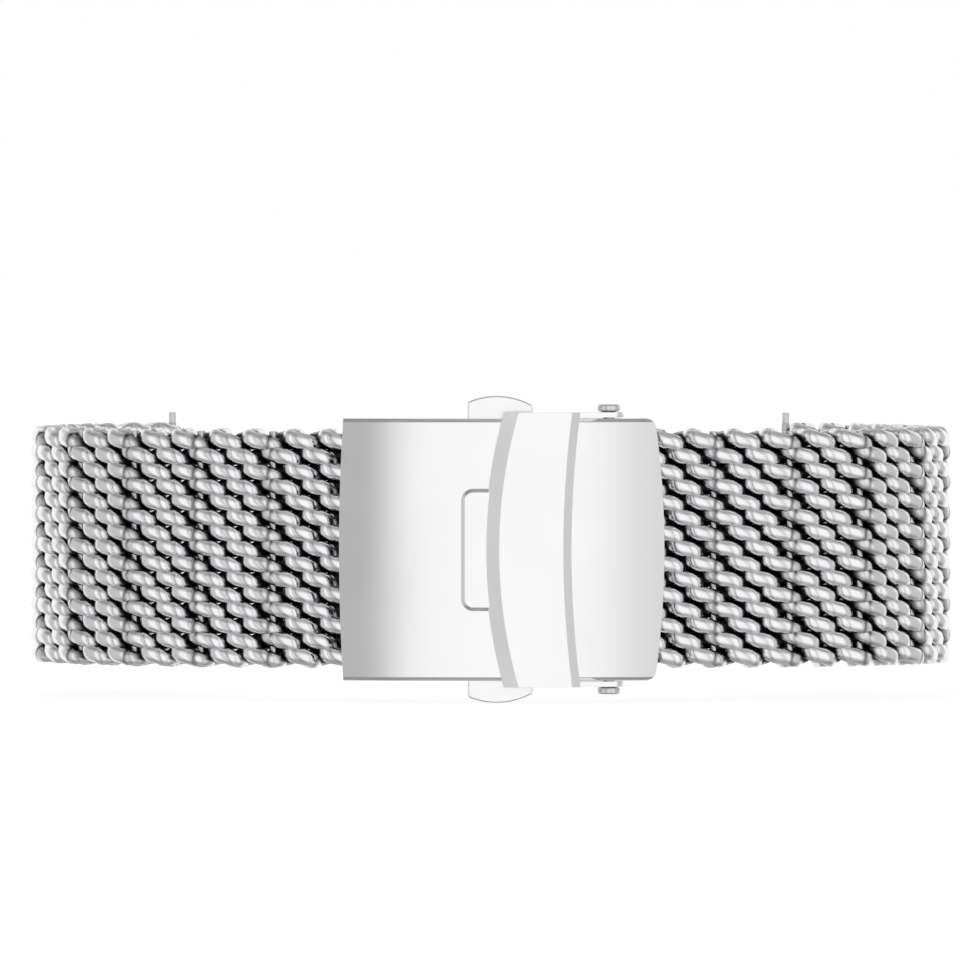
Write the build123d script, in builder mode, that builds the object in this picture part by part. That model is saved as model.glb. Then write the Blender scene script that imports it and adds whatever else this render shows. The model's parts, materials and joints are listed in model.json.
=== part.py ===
"""Woven steel mesh watch band with a folding clasp, closed as a loop.

The band stands on its side edge: Z runs across the band's width, the clasp
is at the front (-Y) and the open gap for the watch is at the back (+Y).
Each mesh section is four interlinked flattened coils of wire, and each pair
of sections turns on a straight pin that lies inside both end coils.
All lengths are in millimetres.
"""

import math
import os

from build123d import *

os.makedirs("parts", exist_ok=True)

# Mesh sizes.
mesh_width = 20.0
wire_rows = 8
coil_spacing = 1.5
hinge_spacing = 2.0
coils_per_link = 4
coil_reach = 1.18
coil_half_height = 1.08
strand_drop = 0.62
wire_radius = 0.47
wire_sides = 3
ridge_share = 0.7
pin_radius = 0.36
pin_clearance = 0.08
pin_inset = 0.1
pin_sides = 12

# Direction of each mesh section at rest, in degrees back from the clasp line.
left_headings = (8, 20, 30, 45, 66, 86, 106, 124, 140)
right_headings = (5, 9, 24, 47, 71, 93, 112, 130, 146)

# Clasp sizes.
cover_length = 26.3
cover_left = -12.3
cover_bow = 0.8
cover_left_bow = 0.35
cover_crest = 5.4
cover_end_drop = 1.5
cover_sheet = 0.8
cover_wall = 0.42
cover_side_gap = 0.17
cover_edge_bevel = 0.3
cover_wall_reach = 1.0
cover_wall_arch = 0.9
cover_corner_radius = 0.9
bar_radius = 0.36
bar_end_gap = 0.05
bar_edge_offset = 0.5
fork_bar_inset = 1.5
lug_tip_radius = 0.3
lug_tip_length = 0.9
left_line = 0.0
right_line = 0.5

blade_margin = 1.5
blade_sheet = 0.8
blade_rise = 1.0
knuckle_radius = 0.9
knuckle_gap = 0.12
centre_knuckle_width = 8.6
hinge_pin_radius = 0.4
running_gap = 0.05
cover_hinge_inset = 0.9
cover_hinge_depth = 2.2
blade_hinge_inset = 3.6
blade_hinge_depth = 1.0
plate_offset = 0.5
cover_plate_offset = 0.4
lower_blade_rise = 0.9
fork_thickness = 0.36
fork_gap = 0.1
fork_bridge = 1.8
fork_throat = 2.15
fork_arm_height = 1.2
fork_plate_drop = 0.3

# Safety flap sizes.
flap_sheet = 0.9
flap_gap = 0.1
flap_inset = 6.3
flap_length = 6.45
flap_left_bow = 1.6
flap_right_bow = 0.75
flap_left_bevel = 1.2
flap_right_bevel = 0.7
flap_bevel_depth = 0.45
flap_tab_width = 10.3
flap_tab_reach = 2.0
flap_tab_bevel = 0.3
flap_tab_radius = 1.0
flap_tab_share = 0.55
flap_arm = 0.45
flap_arm_gap = 0.08
flap_pivot_inset = 3.9
flap_pivot_depth = 2.6
flap_eye_radius = 1.3
pivot_head_radius = 0.95
pivot_head_height = 0.6
pivot_shank_radius = 0.5

# Push button sizes.
button_length = 5.5
button_offset = 0.3
button_height = 2.3
button_depth = 2.55
button_out = 1.9
button_left_out = 1.4
button_right_out = 1.1
button_corner = 0.35
button_gap = 0.06
flange_margin = 0.35
flange_sheet = 0.35
bracket_sheet = 0.3
bracket_gap = 0.15
bracket_width = 4.0
bracket_depth = 1.6
spring_radius = 0.62
spring_wire = 0.11
spring_turns = 3
spring_steps = 6
spring_sides = 4

overrun = 1.0

# Sizes worked out from the ones above.
link_pitch = (coils_per_link - 1) * coil_spacing + hinge_spacing
turn_count = wire_rows - 1
wire_inner = wire_radius * math.cos(math.pi / wire_sides)
wire_half = wire_radius * math.sin(math.pi / wire_sides)
wire_ridge = ridge_share * wire_radius
coil_pitch = (mesh_width - strand_drop - 2 * wire_half) / turn_count
bend_drop = coil_pitch / 2 - strand_drop
end_reach = hinge_spacing / 2 + pin_radius + pin_clearance + wire_inner
cover_right = cover_left + cover_length
cover_mid = (cover_left + cover_right) / 2
half_mesh = mesh_width / 2
half_blade = half_mesh - blade_margin
fork_inner = half_mesh + fork_gap
fork_outer = fork_inner + fork_thickness
wall_inner = fork_outer + cover_side_gap
half_cover = wall_inner + cover_wall
half_length = cover_length / 2
skin_radius = (half_length**2 + cover_end_drop**2) / (2 * cover_end_drop)
flap_right = cover_right - flap_inset
flap_left = flap_right - flap_length
flap_pivot_x = cover_right - flap_pivot_inset
button_x = flap_left - button_offset
blade_hinge_x = cover_left + blade_hinge_inset


def rotate_pair(x, y, degrees):
    """Turn a plane offset about the origin."""
    c = math.cos(math.radians(degrees))
    s = math.sin(math.radians(degrees))
    return x * c - y * s, x * s + y * c


def hinge_line(start, headings, side):
    """Hinge places from the clasp to the free end; side is -1 left, 1 right."""
    points = [start]
    for heading in headings:
        x, y = points[-1]
        angle = math.radians(heading)
        points.append((x + side * link_pitch * math.cos(angle), y + link_pitch * math.sin(angle)))
    return points


left_bar_x = cover_left + bar_edge_offset
right_bar_x = cover_right - fork_bar_inset
left_raw = hinge_line((left_bar_x, left_line), left_headings, -1)
right_raw = hinge_line((right_bar_x, right_line), right_headings, 1)

# The origin is the middle of the loop: half way from the flap to the far hinges.
far_reach = max(y for _, y in left_raw + right_raw) + coil_half_height
near_reach = -(cover_crest + flap_gap + flap_sheet)
depth_shift = -(far_reach + near_reach) / 2
left_hinges = [(x, y + depth_shift) for x, y in left_raw]
right_hinges = [(x, y + depth_shift) for x, y in right_raw]


def depth(value):
    """Y of a place that lies this far in front of the band's middle surface."""
    return depth_shift - value


def save(part, name):
    """Label a finished piece and write it."""
    part.label = name
    export_step(part, f"parts/{name}.step")


def wire_rings(along, left_reach, right_reach, from_back):
    """Three-sided sections of one flattened coil at each corner, top to bottom."""
    left = along - left_reach
    right = along + right_reach
    front = -coil_half_height
    corners = [(left, front, -1, -1), (right, front, 1, -1), (right, -front, 1, 1), (left, -front, -1, 1)]
    if from_back:
        corners = corners[2:] + corners[:2]
    z = (turn_count * coil_pitch + strand_drop) / 2
    rings = []
    for step in range(4 * turn_count + 2):
        x, y, side, face = corners[step % 4]
        ridge = (x + side * wire_ridge, y + face * wire_ridge, z)
        flat = (x - side * wire_inner, y - face * wire_inner)
        rings.append((ridge, (*flat, z - wire_half), (*flat, z + wire_half)))
        z -= bend_drop if step % 2 else strand_drop
    return rings


def facet(*points):
    """One flat triangular face."""
    return Face(Wire.make_polygon([Vector(*point) for point in points], close=True))


def coil(along, left_reach, right_reach, from_back):
    """One coil of wire with its flat side inward, closed at both ends."""
    rings = wire_rings(along, left_reach, right_reach, from_back)
    faces = [facet(*rings[0]), facet(*rings[-1])]
    for upper, lower in zip(rings, rings[1:]):
        for side in range(wire_sides):
            after = (side + 1) % wire_sides
            faces.append(facet(upper[side], upper[after], lower[side]))
            faces.append(facet(upper[after], lower[after], lower[side]))
    with BuildPart() as wound:
        add(Solid(Shell(faces)))
    return wound.part


def link_solids():
    """The interlinked coils of one mesh section, its first hinge at the origin."""
    solids = []
    for index in range(coils_per_link):
        along = hinge_spacing / 2 + index * coil_spacing
        left_reach = end_reach if index == 0 else coil_reach
        right_reach = end_reach if index == coils_per_link - 1 else coil_reach
        solids.append(coil(along, left_reach, right_reach, index % 2 == 0))
    return solids


coils = link_solids()


def pin_part(place, radius, length, name):
    """A straight pin or bar along the band's width."""
    with BuildPart() as pin:
        with BuildSketch(Plane.XY.offset(-length / 2)):
            with Locations(place):
                RegularPolygon(radius, pin_sides)
        extrude(amount=length)
    save(pin.part, name)


def link_part(place, turn, name):
    """One mesh section at its place in the loop."""
    where = Pos(place[0], place[1], 0) * Rot(0, 0, turn)
    save(Compound(children=[where * item for item in coils]), name)


for number, (place, heading) in enumerate(zip(left_hinges, left_headings), start=1):
    link_part(place, 180 - heading, f"link_left_{number}")
for number, (place, heading) in enumerate(zip(right_hinges, right_headings), start=1):
    link_part(place, heading, f"link_right_{number}")
for number, place in enumerate(left_hinges[1:-1], start=1):
    pin_part(place, pin_radius, mesh_width - 2 * pin_inset, f"link_pin_left_{number}")
for number, place in enumerate(right_hinges[1:-1], start=1):
    pin_part(place, pin_radius, mesh_width - 2 * pin_inset, f"link_pin_right_{number}")


def skin(x, rise=0.0):
    """A place on the cover's curved top, raised by a distance along its radius."""
    centre = depth(cover_crest) + skin_radius
    return (x, centre - math.sqrt((skin_radius + rise) ** 2 - (x - cover_mid) ** 2))


def skin_band(x_from, x_to, low, high):
    """A slice between two rises above the cover's top, as a sketch."""
    x_half = (x_from + x_to) / 2
    with BuildSketch() as band:
        with BuildLine():
            top = ThreePointArc(skin(x_from, high), skin(x_half, high), skin(x_to, high))
            base = ThreePointArc(skin(x_from, low), skin(x_half, low), skin(x_to, low))
            Line(top @ 0, base @ 0)
            Line(top @ 1, base @ 1)
        make_face()
    return band.sketch


cover_hinge = (cover_right - cover_hinge_inset, depth(cover_hinge_depth))
blade_hinge = (blade_hinge_x, depth(blade_hinge_depth))
flap_pivot = (flap_pivot_x, depth(flap_pivot_depth))
button_place = (button_x, depth(button_depth))
cover_far = cover_right + cover_bow
cover_near = cover_left - cover_left_bow

with BuildPart() as cover:
    with BuildSketch():
        with BuildLine():
            roof = ThreePointArc(skin(cover_near), skin(cover_mid), skin(cover_far))
            sole = ThreePointArc(
                (cover_near, depth(-cover_wall_reach)),
                (cover_mid, depth(cover_wall_arch - cover_wall_reach)),
                (cover_far, depth(-cover_wall_reach)),
            )
            Line(roof @ 0, sole @ 0)
            Line(roof @ 1, sole @ 1)
        make_face()
    extrude(amount=half_cover, both=True)
    chamfer(edges().filter_by(GeomType.CIRCLE).group_by(Axis.Y)[0], length=cover_edge_bevel)
    # The hollow runs out of both ends, so the mesh can pass in.
    with BuildSketch():
        with BuildLine():
            ceiling = ThreePointArc(
                skin(cover_near - overrun, -cover_sheet),
                skin(cover_mid, -cover_sheet),
                skin(cover_far + overrun, -cover_sheet),
            )
            low = depth(-cover_wall_reach - overrun)
            Polyline(ceiling @ 0, (cover_near - overrun, low), (cover_far + overrun, low), ceiling @ 1)
        make_face()
    extrude(amount=wall_inner, both=True, mode=Mode.SUBTRACT)
    with BuildSketch():
        with Locations(left_hinges[0]):
            Circle(bar_radius + running_gap)
        with Locations(cover_hinge):
            Circle(hinge_pin_radius + running_gap)
        with Locations(flap_pivot):
            Circle(pivot_shank_radius)
        with Locations(button_place):
            Rectangle(button_length + 2 * button_gap, button_height + 2 * button_gap)
    extrude(amount=half_cover + overrun, both=True, mode=Mode.SUBTRACT)
    # Two brackets under the top carry the button springs.
    for side in (-1, 1):
        inner = half_blade + bracket_gap
        with BuildSketch(Plane.XY.offset(side * (inner + bracket_sheet / 2))):
            with BuildLine():
                crown = ThreePointArc(
                    skin(button_x - bracket_width / 2, -cover_sheet / 2),
                    skin(button_x, -cover_sheet / 2),
                    skin(button_x + bracket_width / 2, -cover_sheet / 2),
                )
                foot = depth(bracket_depth)
                Polyline(
                    crown @ 0,
                    (button_x - bracket_width / 2, foot),
                    (button_x + bracket_width / 2, foot),
                    crown @ 1,
                )
            make_face()
        extrude(amount=bracket_sheet / 2, both=True)
    # Plan outline: both ends bow outwards, and the right end has rounded corners.
    with BuildSketch(Plane.XZ):
        with BuildLine():
            bow = ThreePointArc((cover_right, -half_cover), (cover_far, 0), (cover_right, half_cover))
            near_bow = ThreePointArc((cover_left, -half_cover), (cover_near, 0), (cover_left, half_cover))
            Line(bow @ 0, near_bow @ 0)
            Line(bow @ 1, near_bow @ 1)
        make_face()
        fillet(vertices().group_by(Axis.X)[-1], radius=cover_corner_radius)
    extrude(amount=2 * skin_radius, both=True, mode=Mode.INTERSECT)
save(cover.part, "clasp_cover")


def bar_part(place, radius, length, tip_radius, tip_length, name):
    """A spring bar: a body with a narrower tip at each end."""
    with BuildPart() as bar:
        with BuildSketch(Plane.XY.offset(-length / 2)):
            with Locations(place):
                RegularPolygon(radius, pin_sides)
        extrude(amount=length)
        with BuildSketch(Plane.XY.offset(-length / 2 - tip_length)):
            with Locations(place):
                Circle(tip_radius)
        extrude(amount=length + 2 * tip_length)
    save(bar.part, name)


cover_bar_length = 2 * (half_cover - bar_end_gap)
pin_part(left_hinges[0], bar_radius, cover_bar_length, "cover_spring_bar")
pin_part(right_hinges[0], bar_radius, 2 * (fork_outer - bar_end_gap), "blade_spring_bar")
pin_part(cover_hinge, hinge_pin_radius, cover_bar_length, "cover_hinge_pin")
pin_part(blade_hinge, hinge_pin_radius, 2 * (half_blade - bar_end_gap), "blade_hinge_pin")
lug_length = mesh_width + 2 * bar_end_gap
bar_part(left_hinges[-1], bar_radius, lug_length, lug_tip_radius, lug_tip_length, "lug_bar_left")
bar_part(right_hinges[-1], bar_radius, lug_length, lug_tip_radius, lug_tip_length, "lug_bar_right")


def leaf(start, end, rise):
    """A bowed strip of blade sheet between two places, as a sketch."""
    middle = ((start[0] + end[0]) / 2, (start[1] + end[1]) / 2 - rise)
    with BuildSketch() as strip:
        with BuildLine():
            ThreePointArc(start, middle, end)
        trace(line_width=blade_sheet)
    return strip.sketch


def round_room(place, radius, z_from, z_to):
    """A slice of round room about a hinge line, to be cut away."""
    with BuildPart() as room:
        with BuildSketch(Plane.XY.offset(z_from)):
            with Locations(place):
                Circle(radius)
        extrude(amount=z_to - z_from)
    return room.part


centre_half = centre_knuckle_width / 2
clear_radius = knuckle_radius + knuckle_gap
upper_start = (cover_hinge[0], cover_hinge[1] - cover_plate_offset)
upper_end = (blade_hinge[0], blade_hinge[1] - plate_offset)

with BuildPart() as inner_blade:
    with BuildSketch():
        add(leaf(upper_start, upper_end, blade_rise))
        with Locations(cover_hinge, blade_hinge):
            Circle(knuckle_radius)
    extrude(amount=half_blade, both=True)
    gap_half = centre_half + knuckle_gap
    add(round_room(blade_hinge, clear_radius, -gap_half, gap_half), mode=Mode.SUBTRACT)
    with BuildSketch():
        with Locations(cover_hinge, blade_hinge):
            Circle(hinge_pin_radius + running_gap)
    extrude(amount=half_blade + overrun, both=True, mode=Mode.SUBTRACT)
save(inner_blade.part, "inner_blade")

lower_start = (blade_hinge[0], blade_hinge[1] + plate_offset)
fork_bar = right_hinges[0]
lower_end = (fork_bar[0] - fork_throat, fork_bar[1] - fork_plate_drop)

with BuildPart() as outer_blade:
    with BuildSketch():
        add(leaf(lower_start, lower_end, lower_blade_rise))
        with Locations(blade_hinge):
            Circle(knuckle_radius)
    extrude(amount=half_blade, both=True)
    # The end of the strip is widened into a fork that holds the spring bar.
    with BuildSketch():
        bridge_end = lower_end[0]
        with Locations((bridge_end - fork_bridge / 2, lower_end[1])):
            Rectangle(fork_bridge, blade_sheet)
    extrude(amount=fork_outer, both=True)
    for side in (-1, 1):
        with BuildSketch(Plane.XY.offset(side * (fork_inner + fork_thickness / 2))):
            arm_start = bridge_end - fork_bridge
            with Locations(((arm_start + fork_bar[0]) / 2, fork_bar[1])):
                Rectangle(fork_bar[0] - arm_start, fork_arm_height)
            with Locations(fork_bar):
                Circle(knuckle_radius)
        extrude(amount=fork_thickness / 2, both=True)
    far_half = half_blade + overrun
    add(round_room(blade_hinge, clear_radius, centre_half, far_half), mode=Mode.SUBTRACT)
    add(round_room(blade_hinge, clear_radius, -far_half, -centre_half), mode=Mode.SUBTRACT)
    with BuildSketch():
        with Locations(blade_hinge):
            Circle(hinge_pin_radius + running_gap)
        with Locations(fork_bar):
            Circle(bar_radius + running_gap)
    extrude(amount=half_cover + overrun, both=True, mode=Mode.SUBTRACT)
save(outer_blade.part, "outer_blade")

# The safety flap straddles the cover on two arms.
arm_inner = half_cover + flap_arm_gap
arm_outer = arm_inner + flap_arm
bar_low = flap_gap
bar_high = flap_gap + flap_sheet
tab_high = flap_gap + flap_sheet * flap_tab_share
tab_left = flap_left - flap_left_bow - flap_tab_reach
foot_x = flap_left + 2 * flap_left_bow

with BuildPart() as tab:
    with BuildSketch():
        add(skin_band(tab_left, flap_left + flap_left_bow, bar_low, tab_high))
    extrude(amount=flap_tab_width / 2, both=True)
    fillet(edges().filter_by(Axis.Y).group_by(Axis.X)[0], radius=flap_tab_radius)
    chamfer(faces().sort_by(Axis.Y)[0].edges(), length=flap_tab_bevel)

with BuildPart() as flap:
    with BuildSketch():
        band_left = flap_left - 2 * flap_left_bow
        band_right = flap_right + 2 * flap_right_bow
        add(skin_band(band_left, band_right, bar_low, bar_high))
    extrude(amount=arm_outer, both=True)
    with BuildSketch(Plane.XZ):
        with BuildLine():
            near = ThreePointArc(
                (flap_left, -arm_outer), (flap_left - flap_left_bow, 0), (flap_left, arm_outer)
            )
            far = ThreePointArc(
                (flap_right, -arm_outer), (flap_right - flap_right_bow, 0), (flap_right, arm_outer)
            )
            Line(near @ 0, far @ 0)
            Line(near @ 1, far @ 1)
        make_face()
    extrude(amount=2 * skin_radius, both=True, mode=Mode.INTERSECT)
    # The bar slopes down to the cover at both long edges.
    for side, slope in ((0, flap_left_bevel), (-1, flap_right_bevel)):
        crown = faces().sort_by(Axis.Y)[0]
        rim = crown.edges().filter_by(GeomType.CIRCLE, reverse=True).sort_by(Axis.X)[side]
        chamfer(rim, length=slope, length2=flap_bevel_depth, reference=crown)
    # The finger tab is thinner than the bar.
    add(tab.part)
    for side in (-1, 1):
        with BuildSketch(Plane.XY.offset(side * (arm_inner + flap_arm / 2))):
            with Locations(skin(foot_x, bar_low), skin(flap_right - flap_right_bow, bar_low)):
                Circle(flap_sheet / 2)
            with Locations(flap_pivot):
                Circle(flap_eye_radius)
            make_hull()
            with Locations(flap_pivot):
                Circle(pivot_shank_radius + running_gap, mode=Mode.SUBTRACT)
        extrude(amount=flap_arm / 2, both=True)
save(flap.part, "safety_flap")


def stud(side):
    """A riveted pivot stud in one wall of the cover."""
    with BuildPart() as rivet:
        with BuildSketch(Plane.XY.offset(side * wall_inner)):
            with Locations(flap_pivot):
                Circle(pivot_shank_radius)
        extrude(amount=side * (arm_outer + running_gap - wall_inner))
        with BuildSketch(Plane.XY.offset(side * (arm_outer + running_gap))):
            with Locations(flap_pivot):
                Circle(pivot_head_radius)
        extrude(amount=side * pivot_head_height)
    return rivet.part


save(Compound(children=[stud(-1), stud(1)]), "flap_pivot_studs")

# The push buttons slide through the side walls of the cover.
flange_top = wall_inner - running_gap
flange_base = flange_top - flange_sheet
spring_seat = half_blade + bracket_gap + bracket_sheet


def button(side, name):
    """A push button that slides through the cover's wall on a flange."""
    left = button_x - button_length / 2
    right = button_x + button_length / 2
    with BuildPart() as key:
        with BuildSketch(Plane.XZ.offset(-button_place[1])):
            with BuildLine():
                crown = ThreePointArc(
                    (left, side * (half_cover + button_left_out)),
                    (button_x, side * (half_cover + button_out)),
                    (right, side * (half_cover + button_right_out)),
                )
                base = side * flange_base
                Polyline(crown @ 0, (left, base), (right, base), crown @ 1)
            make_face()
            outer = vertices().sort_by(lambda corner: abs(corner.Z))[-2:]
            fillet(outer, radius=button_corner)
        extrude(amount=button_height / 2, both=True)
        with BuildSketch(Plane.XY.offset(side * flange_base)):
            with Locations(button_place):
                Rectangle(button_length + 2 * flange_margin, button_height + 2 * flange_margin)
        extrude(amount=side * flange_sheet)
    save(key.part, name)


def spring(side, name):
    """A short coil spring between a bracket and a button's flange."""
    low = spring_seat + spring_wire
    high = flange_base - spring_wire
    points = []
    for step in range(spring_turns * spring_steps + 1):
        angle = 2 * math.pi * step / spring_steps
        x = button_place[0] + spring_radius * math.cos(angle)
        y = button_place[1] + spring_radius * math.sin(angle)
        points.append((x, y, side * (low + (high - low) * step / (spring_turns * spring_steps))))
    first = Vector(*points[0])
    with BuildPart() as helix:
        with BuildLine():
            Polyline(*points)
        with BuildSketch(Plane(origin=first, z_dir=Vector(*points[1]) - first)):
            RegularPolygon(spring_wire, spring_sides)
        sweep(transition=Transition.RIGHT)
    save(helix.part, name)


button(1, "button_upper")
button(-1, "button_lower")
spring(1, "button_spring_upper")
spring(-1, "button_spring_lower")
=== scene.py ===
"""Studio scene of a woven steel mesh watch band with a folding clasp.

Every mesh section is wound anew from round wire by Geometry Nodes, at the
place of its frame node. The clasp's pieces are refined copies of their frame
nodes, with softened edges. All lengths are in metres.
"""

import json
import logging
import math
from dataclasses import dataclass, field
from enum import Enum
from typing import Any

import bmesh
import bpy
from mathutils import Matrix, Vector

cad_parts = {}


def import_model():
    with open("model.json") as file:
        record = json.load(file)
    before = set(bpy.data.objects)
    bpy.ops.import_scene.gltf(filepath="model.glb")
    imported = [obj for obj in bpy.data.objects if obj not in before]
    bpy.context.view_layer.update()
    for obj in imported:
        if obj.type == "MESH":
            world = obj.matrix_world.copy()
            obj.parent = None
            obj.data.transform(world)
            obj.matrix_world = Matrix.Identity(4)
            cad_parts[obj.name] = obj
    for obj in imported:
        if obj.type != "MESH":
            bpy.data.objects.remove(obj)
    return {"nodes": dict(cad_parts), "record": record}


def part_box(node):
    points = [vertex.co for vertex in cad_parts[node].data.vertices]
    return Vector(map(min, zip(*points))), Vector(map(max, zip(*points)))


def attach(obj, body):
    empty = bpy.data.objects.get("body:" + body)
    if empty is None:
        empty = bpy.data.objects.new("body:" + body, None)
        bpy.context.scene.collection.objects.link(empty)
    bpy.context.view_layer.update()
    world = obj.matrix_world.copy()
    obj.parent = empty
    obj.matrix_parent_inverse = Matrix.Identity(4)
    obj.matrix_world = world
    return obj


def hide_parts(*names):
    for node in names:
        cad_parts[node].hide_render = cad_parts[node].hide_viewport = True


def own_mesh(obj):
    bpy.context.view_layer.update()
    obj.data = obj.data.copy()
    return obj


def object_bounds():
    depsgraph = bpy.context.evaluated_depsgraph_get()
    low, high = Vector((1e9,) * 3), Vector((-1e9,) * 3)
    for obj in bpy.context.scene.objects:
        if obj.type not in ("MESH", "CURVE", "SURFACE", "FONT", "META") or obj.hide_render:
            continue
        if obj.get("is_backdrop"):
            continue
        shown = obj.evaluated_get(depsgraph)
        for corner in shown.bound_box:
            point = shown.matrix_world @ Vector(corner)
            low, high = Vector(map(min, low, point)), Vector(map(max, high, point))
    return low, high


LOG = logging.getLogger("mesh_band")
MILLIMETRE = 0.001
WHITE = (1.0, 1.0, 1.0, 1.0)
BLACK = (0.0, 0.0, 0.0, 1.0)


class Signal:
    """One output socket of a node, with arithmetic that adds Math nodes."""

    def __init__(self, graph: "Graph", socket: bpy.types.NodeSocket) -> None:
        """Keep the socket and the graph that it belongs to."""
        self.graph = graph
        self.socket = socket

    def __add__(self, other: "Operand") -> "Signal":
        """Sum."""
        return self.graph.math("ADD", self, other)

    def __radd__(self, other: "Operand") -> "Signal":
        """Sum, from the right."""
        return self.graph.math("ADD", other, self)

    def __sub__(self, other: "Operand") -> "Signal":
        """Difference."""
        return self.graph.math("SUBTRACT", self, other)

    def __rsub__(self, other: "Operand") -> "Signal":
        """Difference, from the right."""
        return self.graph.math("SUBTRACT", other, self)

    def __mul__(self, other: "Operand") -> "Signal":
        """Product."""
        return self.graph.math("MULTIPLY", self, other)

    def __rmul__(self, other: "Operand") -> "Signal":
        """Product, from the right."""
        return self.graph.math("MULTIPLY", other, self)

    def __truediv__(self, other: "Operand") -> "Signal":
        """Quotient."""
        return self.graph.math("DIVIDE", self, other)

    def __rtruediv__(self, other: "Operand") -> "Signal":
        """Quotient, from the right."""
        return self.graph.math("DIVIDE", other, self)

    def __pow__(self, other: "Operand") -> "Signal":
        """Power."""
        return self.graph.math("POWER", self, other)

    def __rpow__(self, other: "Operand") -> "Signal":
        """Power, from the right."""
        return self.graph.math("POWER", other, self)

    def cosine(self) -> "Signal":
        """Cosine of an angle in radians."""
        return self.graph.math("COSINE", self)

    def sine(self) -> "Signal":
        """Sine of an angle in radians."""
        return self.graph.math("SINE", self)

    def absolute(self) -> "Signal":
        """The value without its sign."""
        return self.graph.math("ABSOLUTE", self)

    def squared_off(self, exponent: "Operand") -> "Signal":
        """The signed power that turns a circle's coordinate into a flattened loop's."""
        return self.graph.math("SIGN", self) * self.absolute() ** exponent

    def smooth_step(self, start: "Operand", end: "Operand") -> "Signal":
        """A soft step from 0 at the start to 1 at the end."""
        settings = {"interpolation_type": "SMOOTHSTEP"}
        return self.graph.out(
            self.graph.node("ShaderNodeMapRange", settings, {0: self, 1: start, 2: end})
        )

    def at_least(self, other: "Operand") -> "Signal":
        """The larger of two."""
        return self.graph.math("MAXIMUM", self, other)

    def at_most(self, other: "Operand") -> "Signal":
        """The smaller of two."""
        return self.graph.math("MINIMUM", self, other)


Operand = Signal | float


class Graph:
    """Adds nodes to one shader or geometry tree."""

    def __init__(self, tree: bpy.types.NodeTree) -> None:
        """Keep the tree."""
        self.tree = tree

    def node(
        self,
        kind: str,
        settings: dict[str, Any] | None = None,
        sockets: dict[int | str, Any] | None = None,
    ) -> Any:
        """Add one node.

        Args:
            kind: The node's type.
            settings: Its properties, set first.
            sockets: A value or a signal for each input, by name or number.

        Returns:
            The node.
        """
        made = self.tree.nodes.new(kind)
        for name, value in (settings or {}).items():
            setattr(made, name, value)
        for key, value in (sockets or {}).items():
            if isinstance(value, Signal):
                self.tree.links.new(value.socket, made.inputs[key])
            else:
                made.inputs[key].default_value = value
        return made

    def out(self, node: Any, key: int | str = 0) -> Signal:
        """One output of a node as a signal."""
        return Signal(self, node.outputs[key])

    def math(self, operation: str, *operands: Operand) -> Signal:
        """Add one Math node.

        Args:
            operation: The Math node's operation.
            operands: Values or signals for its sockets, in order.

        Returns:
            The node's result.
        """
        sockets = dict(enumerate(operands))
        return self.out(self.node("ShaderNodeMath", {"operation": operation}, sockets))

    def join_xyz(self, x: Operand, y: Operand, z: Operand) -> Signal:
        """Three values as one vector."""
        return self.out(self.node("ShaderNodeCombineXYZ", None, {0: x, 1: y, 2: z}))

    def split_xyz(self, vector: Signal) -> list[Signal]:
        """One vector as three values."""
        parts = self.node("ShaderNodeSeparateXYZ", None, {0: vector})
        return [self.out(parts, number) for number in range(3)]

    def mix_colours(self, share: Operand, first: Any, second: Any) -> Signal:
        """Two colours mixed by a share of the second."""
        # The Mix node takes colours at its inputs 6 and 7 and gives one at its output 2.
        sockets = {0: share, 6: first, 7: second}
        return self.out(self.node("ShaderNodeMix", {"data_type": "RGBA"}, sockets), 2)


def emptied_graph(owner: bpy.types.Material | bpy.types.World) -> Graph:
    """Empty a material's or world's node tree.

    Args:
        owner: The material or world.

    Returns:
        The graph of its tree.
    """
    owner.use_nodes = True
    owner.node_tree.nodes.clear()
    return Graph(owner.node_tree)


def new_object(name: str, data: bpy.types.ID) -> bpy.types.Object:
    """Make an object and put it in the scene.

    Args:
        name: Its name.
        data: Its mesh, lamp or camera.

    Returns:
        The object, at the origin.
    """
    made = bpy.data.objects.new(name, data)
    bpy.context.scene.collection.objects.link(made)
    return made


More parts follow.
